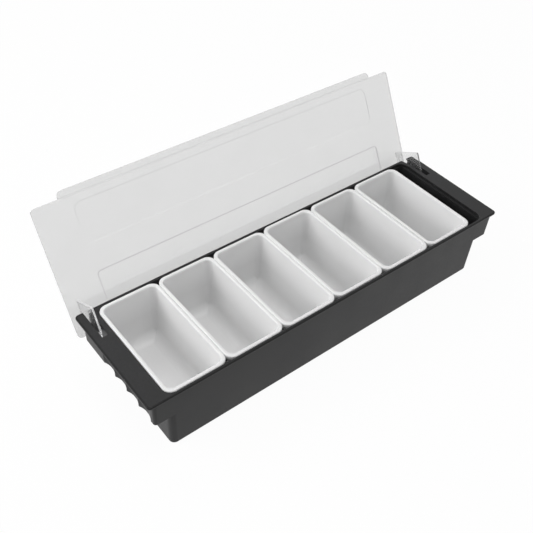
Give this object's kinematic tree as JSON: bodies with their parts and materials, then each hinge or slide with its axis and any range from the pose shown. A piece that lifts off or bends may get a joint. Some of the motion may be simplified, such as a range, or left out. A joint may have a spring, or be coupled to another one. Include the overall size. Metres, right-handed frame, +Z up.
{
  "type": "condiment caddy",
  "caption": "Long moulded condiment caddy with deep loose inserts hung in its well, scalloped grips under its end flanges and a clear lid hinged along the back.",
  "frame": {"origin": "middle of the tray's flat bottom", "axes": "+X along the length towards the free space in the well, +Y from the front to the hinged back, +Z up"},
  "size_m": [0.495, 0.2167, 0.1833],
  "materials": {
    "tray": "black moulded plastic with a fine satin grain",
    "insert": "white moulded plastic, softly glossy",
    "lid": "clear moulded plastic, polished"
  },
  "bodies": {
    "tray_body": {"tray": "tray", "insert_1": "insert", "insert_2": "insert", "insert_3": "insert", "insert_4": "insert", "insert_5": "insert", "insert_6": "insert"},
    "lid_body": {"lid": "lid"}
  },
  "joints": [
    {"name": "lid_hinge", "type": "hinge", "parent": "tray_body", "child": "lid_body", "pos_m": [0, 0.0637, 0.071], "axis": [1, 0, 0], "range_deg": [0, 118.5]}
  ]
}
